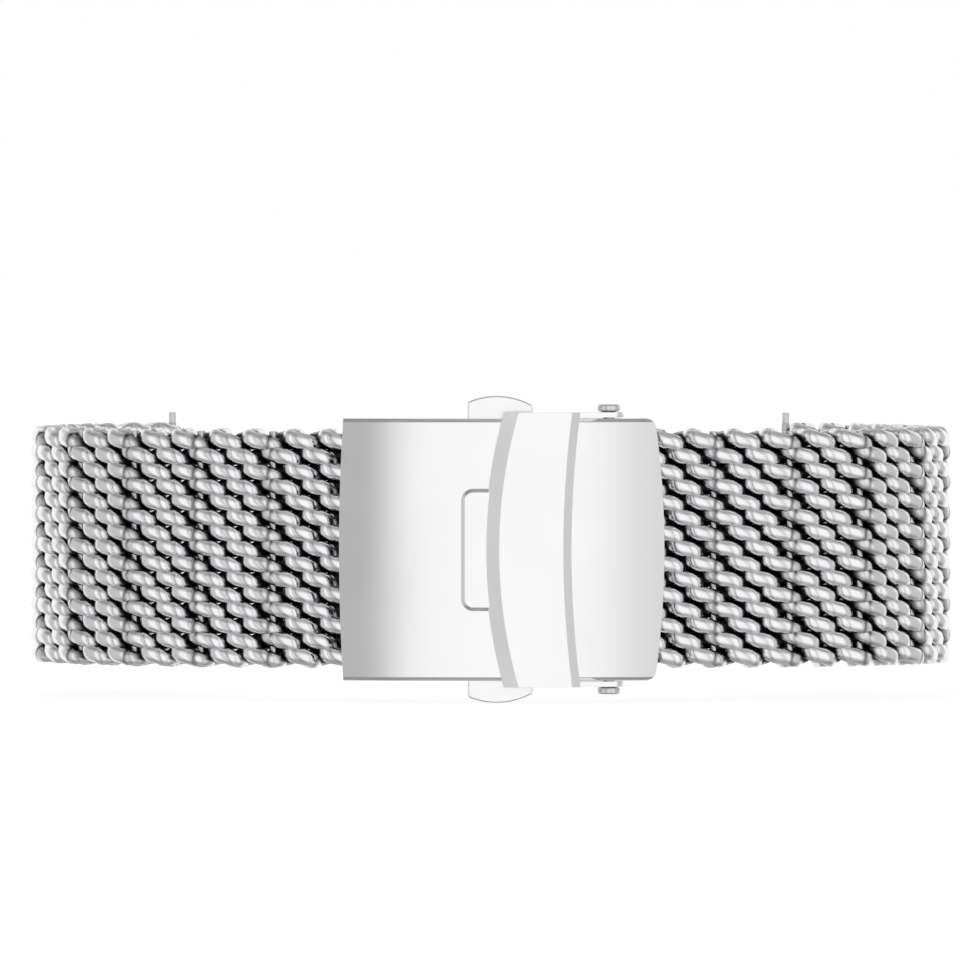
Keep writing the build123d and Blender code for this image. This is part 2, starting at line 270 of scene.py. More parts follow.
@dataclass(frozen=True)
class SteelFinish:
    """A procedural steel finish, with fine wear that follows the object's own space.

    Attributes:
        name: The material's name.
        slot: The record's material slot; not used.
        bright: Colour of the clean metal.
        dull: Colour of the handled metal.
        roughness: Roughness of the smoothest places.
        roughness_spread: How much rougher the dullest places are.
        cloud_scale: Patches to the metre of the broad variation.
        grain_scale: Grains to the metre along x, y and z.
        grain_depth: Height of the grain in metres.
        cloud_detail: Octaves of the broad variation.
        grain_detail: Octaves of the grain.
        cloud_share: Share of the wear that the broad variation gives.
        grain_share: Share of the wear that the grain gives.
        recess_shaded: True where the finish paints shade on the metal deep inside the weave.
        recess_shade_colour: Colour of that painted shade.
        recess_from: How proud the fully shaded places stand at most.
        recess_to: How proud the unshaded places stand at least.
        recess_roughness: How much rougher the metal is where that shade is painted.
    """

    name: str
    slot: str
    bright: tuple[float, float, float]
    dull: tuple[float, float, float]
    roughness: float
    roughness_spread: float
    cloud_scale: float
    grain_scale: tuple[float, float, float]
    grain_depth: float
    cloud_detail: float = 4.0
    grain_detail: float = 5.0
    cloud_share: float = 0.7
    grain_share: float = 0.3
    # Painted shade: the colour below darkens the wire deep inside the weave and at section seams.
    recess_shaded: bool = False
    recess_shade_colour: tuple[float, float, float] = (0.05, 0.05, 0.053)
    recess_from: float = 0.25
    recess_to: float = 0.85
    recess_roughness: float = 0.25

    def build(self) -> bpy.types.Material:
        """Make the material.

        Returns:
            The finished material.
        """
        material = bpy.data.materials.new(self.name)
        graph = emptied_graph(material)
        place = graph.out(graph.node("ShaderNodeTexCoord"), "Object")
        drawn = graph.node("ShaderNodeMapping", None, {"Vector": place, "Scale": self.grain_scale})
        clouds = self._noise(graph, place, self.cloud_scale, self.cloud_detail)
        grain = self._noise(graph, graph.out(drawn), 1.0, self.grain_detail)
        wear = clouds * self.cloud_share + grain * self.grain_share
        colour = graph.mix_colours(wear, (*self.bright, 1.0), (*self.dull, 1.0))
        rough = self.roughness + wear * self.roughness_spread
        # Painted shade: where the wire lies deep inside the weave or at a seam, its colour is mixed
        # towards a near-black and its metal made rougher.
        if self.recess_shaded:
            attribute = graph.node("ShaderNodeAttribute", {"attribute_name": WoundWireTree.PROUD})
            proud = graph.out(attribute, "Fac")
            shade_share = 1.0 - proud.smooth_step(self.recess_from, self.recess_to)
            colour = graph.mix_colours(shade_share, colour, (*self.recess_shade_colour, 1.0))
            rough = rough + shade_share * self.recess_roughness
        bump = graph.node("ShaderNodeBump", None, {"Distance": self.grain_depth, "Height": grain})
        surface = graph.node(
            "ShaderNodeBsdfPrincipled",
            None,
            {"Base Color": colour, "Metallic": 1.0, "Roughness": rough, "Normal": graph.out(bump)},
        )
        graph.node("ShaderNodeOutputMaterial", None, {"Surface": graph.out(surface)})
        return material

    @staticmethod
    def _noise(graph: Graph, place: Signal, scale: float, detail: float) -> Signal:
        """Noise between 0 and 1."""
        sockets = {"Vector": place, "Scale": scale, "Detail": detail}
        return graph.out(graph.node("ShaderNodeTexNoise", None, sockets))


class Finish(Enum):
    """The band's finishes."""

    WIRE = SteelFinish(
        name="polished_wire",
        slot="mesh_steel",
        bright=(0.97, 0.97, 0.98),
        dull=(0.88, 0.88, 0.90),
        roughness=0.12,
        roughness_spread=0.14,
        cloud_scale=700.0,
        grain_scale=(5200.0, 5200.0, 1600.0),
        grain_depth=0.0000012,
        # The wire gets painted shade deep inside the weave.
        recess_shaded=True,
    )
    CLASP = SteelFinish(
        name="polished_clasp_steel",
        slot="clasp_steel",
        bright=(0.98, 0.98, 0.985),
        dull=(0.93, 0.93, 0.94),
        roughness=0.13,
        roughness_spread=0.12,
        cloud_scale=160.0,
        grain_scale=(9000.0, 2500.0, 420.0),
        grain_depth=0.0000006,
    )
    PIN = SteelFinish(
        name="turned_pin_steel",
        slot="pin_steel",
        bright=(0.86, 0.86, 0.87),
        dull=(0.64, 0.64, 0.66),
        roughness=0.24,
        roughness_spread=0.18,
        cloud_scale=900.0,
        grain_scale=(3000.0, 3000.0, 14000.0),
        grain_depth=0.000001,
    )
    SPRING = SteelFinish(
        name="drawn_spring_steel",
        slot="spring_steel",
        bright=(0.66, 0.66, 0.68),
        dull=(0.42, 0.42, 0.44),
        roughness=0.28,
        roughness_spread=0.16,
        cloud_scale=1500.0,
        grain_scale=(6000.0, 6000.0, 6000.0),
        grain_depth=0.0000008,
    )


class FinishRack:
    """Makes each finish once and hands it out."""

    def __init__(self) -> None:
        """Build every finish."""
        self._materials = {finish: finish.value.build() for finish in Finish}

    def material(self, finish: Finish) -> bpy.types.Material:
        """The material of a finish."""
        return self._materials[finish]

    def dress(self, piece: bpy.types.Object, finish: Finish) -> None:
        """Give a piece one finish.

        Args:
            piece: A mesh object.
            finish: The finish for all its faces.
        """
        piece.data.materials.clear()
        piece.data.materials.append(self.material(finish))


class SocketKind(Enum):
    """The kinds of named inputs that the trees use."""

    NUMBER = "NodeSocketFloat"
    COUNT = "NodeSocketInt"
    PLACE = "NodeSocketVector"
    MATERIAL = "NodeSocketMaterial"


def new_tree(name: str, inputs: dict[str, SocketKind]) -> tuple[Graph, dict[str, Signal]]:
    """Start a Geometry Nodes tree with named inputs.

    Args:
        name: The tree's name.
        inputs: The kind of each named input.

    Returns:
        The graph, and each input as a signal.
    """
    tree = bpy.data.node_groups.new(name, "GeometryNodeTree")
    tree.interface.new_socket(name="Geometry", in_out="OUTPUT", socket_type="NodeSocketGeometry")
    for label, kind in inputs.items():
        tree.interface.new_socket(name=label, in_out="INPUT", socket_type=kind.value)
    graph = Graph(tree)
    entry = graph.node("NodeGroupInput")
    return graph, {label: graph.out(entry, label) for label in inputs}


def end_tree(graph: Graph, given: dict[str, Signal], shape: Signal, turn: Operand = 0.0) -> None:
    """End a tree: put its shape in place, make it real and give it its finish.

    Args:
        graph: The tree's graph.
        given: Its inputs, "Place" and "Finish" among them.
        shape: The geometry, round the origin.
        turn: The angle that it is turned by about z, in radians.
    """
    rotation = graph.join_xyz(0.0, 0.0, turn)
    sockets = {"Geometry": shape, "Translation": given["Place"], "Rotation": rotation}
    placed = graph.node("GeometryNodeTransform", None, sockets)
    real = graph.node("GeometryNodeRealizeInstances", None, {"Geometry": graph.out(placed)})
    sockets = {"Geometry": graph.out(real), "Material": given["Finish"]}
    dressed = graph.node("GeometryNodeSetMaterial", None, sockets)
    graph.node("NodeGroupOutput", None, {0: graph.out(dressed)})


def grow(name: str, tree: bpy.types.NodeTree, values: dict[str, Any]) -> bpy.types.Object:
    """Evaluate a tree once and keep its result as a plain mesh.

    Args:
        name: The new piece's name.
        tree: The Geometry Nodes tree.
        values: A value for each named input.

    Returns:
        A plain mesh object at the origin.
    """
    piece = new_object(name, bpy.data.meshes.new(name))
    modifier = piece.modifiers.new("grow", "NODES")
    modifier.node_group = tree
    for item in tree.interface.items_tree:
        if item.in_out == "INPUT":
            modifier[item.identifier] = values[item.name]
    make_plain(piece)
    return piece


def make_plain(piece: bpy.types.Object) -> None:
    """Replace a piece's mesh by its evaluated one and drop its modifiers.

    Args:
        piece: An object with modifiers.
    """
    bpy.context.view_layer.update()
    evaluated = piece.evaluated_get(bpy.context.evaluated_depsgraph_get())
    mesh = bpy.data.meshes.new_from_object(evaluated)
    piece.modifiers.clear()
    piece.data = mesh
    mesh.name = piece.name


def report(piece: bpy.types.Object) -> None:
    """Log a finished piece's name and size."""
    LOG.info("%s: %d faces", piece.name, len(piece.data.polygons))


class WoundWireTree:
    """The tree that winds one flattened coil of wire down the band's width.

    It marks how proud each place stands: 0 inside the weave, 1 on its faces and
    along the band's edges, and less again at the seam between two sections; the
    wire's finish paints shade where the mark is low.
    """

    PROUD = "proud"
    SWELL = "swell"
    INPUTS = {
        "Along": SocketKind.NUMBER,
        "Left Reach": SocketKind.NUMBER,
        "Right Reach": SocketKind.NUMBER,
        "Half Height": SocketKind.NUMBER,
        "Turn Pitch": SocketKind.NUMBER,
        "Turns": SocketKind.NUMBER,
        "Start Angle": SocketKind.NUMBER,
        "End Wrap": SocketKind.NUMBER,
        "Wire Half Depth": SocketKind.NUMBER,
        "Wire Half Width": SocketKind.NUMBER,
        "Bend Share": SocketKind.NUMBER,
        "Inner Swell": SocketKind.NUMBER,
        "Seam Place": SocketKind.NUMBER,
        "Seam Reach": SocketKind.NUMBER,
        "Seam Depth": SocketKind.NUMBER,
        "Left Flatness": SocketKind.NUMBER,
        "Right Flatness": SocketKind.NUMBER,
        "Rings Per Turn": SocketKind.COUNT,
        "Wire Sides": SocketKind.COUNT,
    }
    # Steps of the first line between two rings of faces.
    FINE_STEPS = 4.0
    # Where the band's edges begin to count as proud and where they do fully, from its middle.
    EDGE_FROM = 0.93
    EDGE_TO = 0.98

    def __init__(self) -> None:
        """Build the tree."""
        self._graph, self._given = new_tree("wound_wire", self.INPUTS)
        marked = self._marked(self._tube(self._wound_line()))
        smooth = self._graph.node("GeometryNodeSetShadeSmooth", None, {"Geometry": marked})
        self._graph.node("NodeGroupOutput", None, {0: self._graph.out(smooth)})
        self.tree = self._graph.tree

    def _wound_line(self) -> Signal:
        """The wire's centre line, with its swell as an attribute.

        It is wound in fine steps and then resampled, so that its rings lie evenly.

        Returns:
            The curve.
        """
        graph, given = self._graph, self._given
        rings = given["Rings Per Turn"]
        fine_rings = rings * self.FINE_STEPS
        turned = graph.out(graph.node("GeometryNodeInputIndex")) / fine_rings
        # Both ends of the wire are tucked round their last bend.
        wrapped = given["Turns"] + given["End Wrap"] * (1 / math.pi)
        angle = given["Start Angle"] - given["End Wrap"] + turned * math.tau
        cosine = angle.cosine()
        rightwards = graph.math("GREATER_THAN", cosine, 0.0)
        flatness = rightwards * given["Right Flatness"] + (1.0 - rightwards) * given["Left Flatness"]
        across = cosine.squared_off(flatness)
        crest = angle.sine().squared_off(flatness)
        rightmost = across.at_least(0.0) * given["Right Reach"]
        leftmost = across.at_most(0.0) * given["Left Reach"]
        x = given["Along"] + rightmost + leftmost
        # The fatter strands on the wrist's side lie deeper by what they gain.
        bulge = (crest * given["Inner Swell"]).at_least(0.0)
        y = crest * (given["Half Height"] - bulge * given["Wire Half Depth"])
        end = given["Turns"] * 0.5
        z = (wrapped * 0.5 - turned).at_most(end).at_least(end * -1.0) * given["Turn Pitch"]
        line = graph.out(graph.node("GeometryNodeCurvePrimitiveLine"))
        fine = self._resampled(line, wrapped * fine_rings)
        sockets = {"Geometry": fine, "Position": graph.join_xyz(x, y, z)}
        wound = graph.out(graph.node("GeometryNodeSetPosition", None, sockets))
        swell = given["Bend Share"] + (1.0 - given["Bend Share"]) * crest * crest + bulge
        return self._resampled(self._stored(wound, self.SWELL, swell), wrapped * rings)

    def _resampled(self, curve: Signal, steps: Signal) -> Signal:
        """A curve in a number of even steps."""
        sockets = {"Curve": curve, "Count": steps + 1.0}
        return self._graph.out(
            self._graph.node("GeometryNodeResampleCurve", {"mode": "COUNT"}, sockets)
        )

    def _stored(self, geometry: Signal, name: str, value: Signal) -> Signal:
        """Store a number at each point of a geometry.

        Args:
            geometry: The geometry.
            name: The new attribute's name.
            value: Its value at each point.

        Returns:
            The geometry with the attribute.
        """
        settings = {"data_type": "FLOAT", "domain": "POINT"}
        sockets = {"Geometry": geometry, "Name": name, "Value": value}
        return self._graph.out(
            self._graph.node("GeometryNodeStoreNamedAttribute", settings, sockets)
        )

    def _tube(self, line: Signal) -> Signal:
        """The wire itself, an oval tube along its line.

        Args:
            line: The wire's centre line.

        Returns:
            The tube.
        """
        graph, given = self._graph, self._given
        upright = graph.node("GeometryNodeSetCurveNormal", {"mode": "Z_UP"}, {"Curve": line})
        sockets = {"Resolution": given["Wire Sides"], "Radius": 1.0}
        circle = graph.node("GeometryNodeCurvePrimitiveCircle", {"mode": "RADIUS"}, sockets)
        size = graph.join_xyz(given["Wire Half Depth"], given["Wire Half Width"], 1.0)
        sockets = {"Geometry": graph.out(circle), "Scale": size}
        oval = graph.node("GeometryNodeTransform", None, sockets)
        swell = graph.node(
            "GeometryNodeInputNamedAttribute", {"data_type": "FLOAT"}, {"Name": self.SWELL}
        )
        sockets = {
            "Curve": graph.out(upright),
            "Profile Curve": graph.out(oval),
            "Scale": graph.out(swell),
            "Fill Caps": True,
        }
        return graph.out(graph.node("GeometryNodeCurveToMesh", None, sockets))

    def _marked(self, tube: Signal) -> Signal:
        """The wire with how proud it stands as an attribute.

        Args:
            tube: The wire.

        Returns:
            The marked wire.
        """
        graph, given = self._graph, self._given
        place = graph.out(graph.node("GeometryNodeInputPosition"))
        beside, depth, width = graph.split_xyz(place)
        top = given["Half Height"] + given["Wire Half Depth"]
        edge = given["Turns"] * 0.5 * given["Turn Pitch"] + given["Wire Half Width"]
        at_edge = (width.absolute() / edge).smooth_step(self.EDGE_FROM, self.EDGE_TO)
        # The seam lowers the mark, so that painted shade draws a dark line across the wire where two
        # sections meet.
        offset = (beside - given["Seam Place"]).absolute()
        seam = (1.0 - offset.smooth_step(0.0, given["Seam Reach"])) * given["Seam Depth"]
        proud = (depth.absolute() / top).at_least(at_edge) - seam
        return self._stored(tube, self.PROUD, proud)


@dataclass
class MeshSection:
    """The woven sections of the band, all wound by one tree.

    Attributes:
        wire_half_depth: Half the wire's thickness, square to the band.
        wire_half_width: Half the wire's height where it lies flattened on a face.
        bend_share: Share of the wire's size that is left at its bends.
        inner_swell: How much fatter the wire is where it lies on the wrist's side.
        seam_depth: How much less proud the wire is marked where two sections meet, as painted shade.
        seam_reach: From the seam to where that painted shade ends.
        start_angle: Where the first wire begins round its coil, in degrees.
        end_wrap: How far each wire's end is tucked round its last bend, in degrees.
        reach: From a coil's middle to its bends' centre line.
        hinge_reach: The same at a bend that wraps a hinge pin.
        half_height: From the band's middle surface to a strand's centre line.
        turn_pitch: From one row of strands to the next.
        turns: Turns in each coil, with the last strand as a quarter.
        coil_spacing: From coil to coil inside a section.
        hinge_spacing: From coil to coil across a hinge pin.
        flatness: 1 winds a round coil, and less a flatter one.
        hinge_flatness: The same for the half of a coil that wraps a hinge pin.
        coils: Coils in each section.
        rings_per_turn: Rings of faces in each turn.
        wire_sides: Faces around the wire.
        tree: The tree that lays the coils side by side, once it is built.
    """

    # Inputs of a section that every coil takes as they are.
    SHARED_NUMBERS = (
        "Half Height",
        "Turn Pitch",
        "Turns",
        "End Wrap",
        "Wire Half Depth",
        "Wire Half Width",
        "Bend Share",
        "Inner Swell",
        "Seam Depth",
        "Seam Reach",
    )
    SHARED_COUNTS = ("Rings Per Turn", "Wire Sides")
    # Inputs that place the section and its coils, or that change from bend to bend.
    OWN_NUMBERS = (
        "Turn",
        "Coil Spacing",
        "Hinge Spacing",
        "Reach",
        "Hinge Reach",
        "Flatness",
        "Hinge Flatness",
    )
    HALF_TURN = 180.0

    wire_half_depth: float = 0.54 * MILLIMETRE
    wire_half_width: float = 0.72 * MILLIMETRE
    bend_share: float = 0.82
    inner_swell: float = 0.20
    # Painted shade: the seam mark darkens the wire where two sections meet.
    seam_depth: float = 0.5
    seam_reach: float = 0.34 * MILLIMETRE
    start_angle: float = 45.0
    end_wrap: float = 70.0
    reach: float = 1.22 * MILLIMETRE
    hinge_reach: float = 1.74 * MILLIMETRE
    half_height: float = 1.00 * MILLIMETRE
    turn_pitch: float = 2.60 * MILLIMETRE
    turns: float = 7.25
    coil_spacing: float = 1.5 * MILLIMETRE
    hinge_spacing: float = 2.0 * MILLIMETRE
    flatness: float = 0.68
    hinge_flatness: float = 0.88
    coils: int = 4
    rings_per_turn: int = 28
    wire_sides: int = 10
    tree: bpy.types.NodeTree | None = field(default=None, repr=False)

    def build_tree(self, wire: WoundWireTree) -> None:
        """Build the tree that lays the coils side by side.

        Args:
            wire: The tree that winds one coil.
        """
        inputs = {"Place": SocketKind.PLACE, "Finish": SocketKind.MATERIAL}
        inputs.update({label: SocketKind.NUMBER for label in self.OWN_NUMBERS + self.SHARED_NUMBERS})
        inputs.update({label: SocketKind.COUNT for label in self.SHARED_COUNTS})
        graph, given = new_tree("woven_section", inputs)
        joined = graph.node("GeometryNodeJoinGeometry")
        last = self.coils - 1
        last_hinge = given["Hinge Spacing"] + given["Coil Spacing"] * float(last)
        for number in range(self.coils):
            sockets = {label: given[label] for label in self.SHARED_NUMBERS + self.SHARED_COUNTS}
            sockets["Along"] = given["Hinge Spacing"] * 0.5 + given["Coil Spacing"] * float(number)
            sockets["Seam Place"] = last_hinge if number >= self.coils / 2 else 0.0
            for side, at_hinge in (("Left", number == 0), ("Right", number == last)):
                for label in ("Reach", "Flatness"):
                    sockets[f"{side} {label}"] = given[f"Hinge {label}" if at_hinge else label]
            # Every other coil is half a turn on, so that it hooks into its neighbours.
            start_angle = self.start_angle + self.HALF_TURN * (number % 2)
            sockets["Start Angle"] = math.radians(start_angle)
            coil = graph.node("GeometryNodeGroup", {"node_tree": wire.tree}, sockets)
            graph.tree.links.new(coil.outputs[0], joined.inputs[0])
        end_tree(graph, given, graph.out(joined), given["Turn"])
        self.tree = graph.tree

    def weave(
        self, name: str, start: Vector, end: Vector, inner_side: float, rack: FinishRack
    ) -> bpy.types.Object:
        """Wind one section between two hinge lines.

        Args:
            name: The piece's name.
            start: The hinge nearer the clasp.
            end: The next hinge.
            inner_side: 1 where the wrist is to the left of that direction, else -1.
            rack: The finishes.

        Returns:
            The woven piece.
        """
        along = end - start
        values = {
            "Place": start,
            "Turn": math.atan2(along.y, along.x),
            "Coil Spacing": self.coil_spacing,
            "Hinge Spacing": self.hinge_spacing,
            "Reach": self.reach,
            "Hinge Reach": self.hinge_reach,
            "Flatness": self.flatness,
            "Hinge Flatness": self.hinge_flatness,
            "Finish": rack.material(Finish.WIRE),
            "Half Height": self.half_height,
            "Turn Pitch": self.turn_pitch,
            "Turns": self.turns,
            "End Wrap": math.radians(self.end_wrap),
            "Wire Half Depth": self.wire_half_depth,
            "Wire Half Width": self.wire_half_width,
            "Bend Share": self.bend_share,
            "Inner Swell": self.inner_swell * inner_side,
            "Seam Depth": self.seam_depth,
            "Seam Reach": self.seam_reach,
            "Rings Per Turn": self.rings_per_turn,
            "Wire Sides": self.wire_sides,
        }
        piece = grow(name, self.tree, values)
        return piece


@dataclass
class Chain:
    """One side of the band, from the clasp to its lug bar.

    Attributes:
        side: "left" or "right".
        first_bar: The frame node at the clasp end.
        inner_side: 1 where the wrist is to the left on the way from the clasp, else -1.
        sections: Sections in this side.
    """

    side: str
    first_bar: str
    inner_side: float
    sections: int = 9

    def hinge_nodes(self) -> list[str]:
        """The frame nodes of the hinge lines, from the clasp outwards."""
        pins = [f"link_pin_{self.side}_{number}" for number in range(1, self.sections)]
        return [self.first_bar, *pins, f"lug_bar_{self.side}"]

    def build(self, section: MeshSection, rack: FinishRack) -> None:
        """Weave every section of this side.

        Args:
            section: The section's sizes and tree.
            rack: The finishes.
        """
        middles = []
        for node in self.hinge_nodes():
            low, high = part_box(node)
            middles.append(Vector(((low.x + high.x) / 2, (low.y + high.y) / 2, 0.0)))
        for number, (start, end) in enumerate(zip(middles, middles[1:]), start=1):
            body = f"link_{self.side}_{number}"
            piece = section.weave(f"weave_{self.side}_{number}", start, end, self.inner_side, rack)
            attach(piece, body)
            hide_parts(body)
            report(piece)


@dataclass
class RefinedPiece:
    """A refined copy of one frame node.

    Attributes:
        node: The frame node.
        body: The body that it rides on.
        finish: Its finish.
        edge: How far its edges are softened.
        edge_angle: Edges sharper than this, in degrees, are softened.
        edge_segments: Faces across a softened edge.
        merge_distance: Corners nearer than this are one.
        flat_angle: Faces that meet at less than this, in degrees, are one.
    """

    node: str
    body: str
    finish: Finish
    edge: float
    edge_angle: float = 15.0
    edge_segments: int = 3
    merge_distance: float = 0.001 * MILLIMETRE
    flat_angle: float = 0.3

    def build(self, nodes: dict[str, bpy.types.Object], rack: FinishRack) -> None:
        """Copy the node, merge its triangles and soften its edges.

        Args:
            nodes: The frame's nodes.
            rack: The finishes.
        """
        piece = new_object(f"refined_{self.node}", self._merged(nodes[self.node].data))
        soften = piece.modifiers.new("soften", "BEVEL")
        soften.width = self.edge
        soften.segments = self.edge_segments
        soften.limit_method = "ANGLE"
        soften.angle_limit = math.radians(self.edge_angle)
        soften.miter_outer = "MITER_ARC"
        piece.modifiers.new("shade", "WEIGHTED_NORMAL").keep_sharp = True
        make_plain(piece)
        rack.dress(piece, self.finish)
        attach(piece, self.body)
        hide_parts(self.node)
        report(piece)

    def _merged(self, source: bpy.types.Mesh) -> bpy.types.Mesh:
        """Copy a mesh, with its loose triangles made whole and smooth faces.

        Args:
            source: A frame node's mesh.

        Returns:
            The copy.
        """
        mesh = source.copy()
        merged = bmesh.new()
        merged.from_mesh(mesh)
        bmesh.ops.remove_doubles(merged, verts=merged.verts, dist=self.merge_distance)
        angle = math.radians(self.flat_angle)
        bmesh.ops.dissolve_limit(merged, angle_limit=angle, verts=merged.verts, edges=merged.edges)
        for face in merged.faces:
            face.smooth = True
        merged.to_mesh(mesh)
        merged.free()
        return mesh


@dataclass
class Clasp:
    """The folding clasp, its safety flap, buttons, pins and bars.

    Attributes:
        shell_edge: Edge softening of the cover.
        flap_edge: Edge softening of the safety flap.
        button_edge: Edge softening of the push buttons.
        stud_edge: Edge softening of the pivot studs' heads.
        blade_edge: Edge softening of the folding blades.
        pin_edge: Edge softening of the pins and bars.
    """

    shell_edge: float = 0.14 * MILLIMETRE
    flap_edge: float = 0.15 * MILLIMETRE
    button_edge: float = 0.16 * MILLIMETRE
    stud_edge: float = 0.16 * MILLIMETRE
    blade_edge: float = 0.08 * MILLIMETRE
    pin_edge: float = 0.05 * MILLIMETRE

    def pieces(self, bodies: dict[str, list[str]]) -> list[RefinedPiece]:
        """Every refined piece of the clasp and the chains' pins.

        Args:
            bodies: The frame nodes of each body.

        Returns:
            The pieces, ready to build.
        """
        edges = {
            "clasp_cover": self.shell_edge,
            "safety_flap": self.flap_edge,
            "button_upper": self.button_edge,
            "button_lower": self.button_edge,
            "flap_pivot_studs": self.stud_edge,
            "inner_blade": self.blade_edge,
            "outer_blade": self.blade_edge,
        }
        found = []
        for body, members in bodies.items():
            for node in members:
                if node in edges:
                    finish = Finish.PIN if node == "flap_pivot_studs" else Finish.CLASP
                    found.append(RefinedPiece(node, body, finish, edges[node]))
                elif "pin" in node or "bar" in node:
                    found.append(RefinedPiece(node, body, Finish.PIN, self.pin_edge))
        return found


@dataclass
class ButtonSpring:
    """The coil springs behind the push buttons.

    Attributes:
        wire_radius: Radius of the spring's wire.
        turns: Turns in each spring.
        rings_per_turn: Rings of faces in each turn.
        wire_sides: Faces around the wire.
    """

    wire_radius: float = 0.11 * MILLIMETRE
    turns: float = 3.0
    rings_per_turn: int = 24
    wire_sides: int = 8

    def build_tree(self, wire: WoundWireTree) -> bpy.types.NodeTree:
        """The tree that winds one round spring at its place.

        Args:
            wire: The tree that winds one coil.

        Returns:
            The tree.
        """
        numbers = ("Turn Pitch", "Turns")
        counts = ("Rings Per Turn", "Wire Sides")
        inputs = {label: SocketKind.NUMBER for label in ("Radius", "Wire Radius") + numbers}
        inputs.update({label: SocketKind.COUNT for label in counts})
        inputs.update({"Place": SocketKind.PLACE, "Finish": SocketKind.MATERIAL})
        graph, given = new_tree("round_spring", inputs)
        sockets = {label: given[label] for label in numbers + counts}
        for label in ("Left Reach", "Right Reach", "Half Height"):
            sockets[label] = given["Radius"]
        for label in ("Wire Half Depth", "Wire Half Width"):
            sockets[label] = given["Wire Radius"]
        for label in ("Left Flatness", "Right Flatness", "Bend Share"):
            sockets[label] = 1.0
        coil = graph.node("GeometryNodeGroup", {"node_tree": wire.tree}, sockets)
        end_tree(graph, given, graph.out(coil))
        return graph.tree

    def build(self, wire: WoundWireTree, joints: list[dict], rack: FinishRack) -> None:
        """Wind both springs inside their frame nodes' boxes.

        Args:
            wire: The tree that winds one coil.
            joints: The record's joints.
            rack: The finishes.
        """
        tree = self.build_tree(wire)
        slides = [joint for joint in joints if joint["type"] == "slide"]
        travels = {joint["name"]: joint["range_m"][1] for joint in slides}
        for side in ("upper", "lower"):
            node = f"button_spring_{side}"
            push = f"button_{side}_push"
            low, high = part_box(node)
            length = high.z - low.z
            left_over = 1.0 - travels[push] / length
            values = {
                "Place": (low + high) / 2,
                "Radius": (high.x - low.x) / 2 - self.wire_radius,
                "Turn Pitch": (length - 2 * self.wire_radius) / self.turns,
                "Turns": self.turns,
                "Wire Radius": self.wire_radius,
                "Finish": rack.material(Finish.SPRING),
                "Rings Per Turn": self.rings_per_turn,
                "Wire Sides": self.wire_sides,
            }
            piece = grow(f"spring_{side}", tree, values)
            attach(piece, "clasp_cover")
            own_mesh(piece)
            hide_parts(node)
            report(piece)


@dataclass(frozen=True)
class Flag:
    """A soft grey flag that only the steel reflects, upright in front of the white studio.

    Attributes:
        start: Where it begins, in degrees from straight in front of the clasp.
        full: Where it begins to have its full shade.
        last: Where its full shade ends.
        end: Where it ends.
        shade: Its brightness.
    """

    start: float
    full: float
    last: float
    end: float
    shade: float

    def dimming(self, azimuth: Signal) -> Signal:
        """How much darker the studio is behind the flag.

        Args:
            azimuth: The direction, in degrees to the flag's own side of front.

        Returns:
            The share of the light that the flag takes.
        """
        covered = azimuth.smooth_step(self.start, self.full)
        covered = covered * (1.0 - azimuth.smooth_step(self.last, self.end))
        return covered * (1.0 - self.shade)


@dataclass(frozen=True)
class Lamp:
    """A soft square lamp that faces the band.

    Attributes:
        name: The lamp's name.
        place: Where it hangs.
        size: Its side.
        power: Its power in watts.
    """

    name: str
    place: tuple[float, float, float]
    size: float
    power: float

    def hang(self) -> None:
        """Add the lamp to the scene."""
        data = bpy.data.lights.new(self.name, "AREA")
        data.size = self.size
        data.energy = self.power
        lamp = new_object(self.name, data)
        lamp.visible_glossy = False
        lamp.location = self.place
        lamp.rotation_euler = (-Vector(self.place)).to_track_quat("-Z", "Y").to_euler()


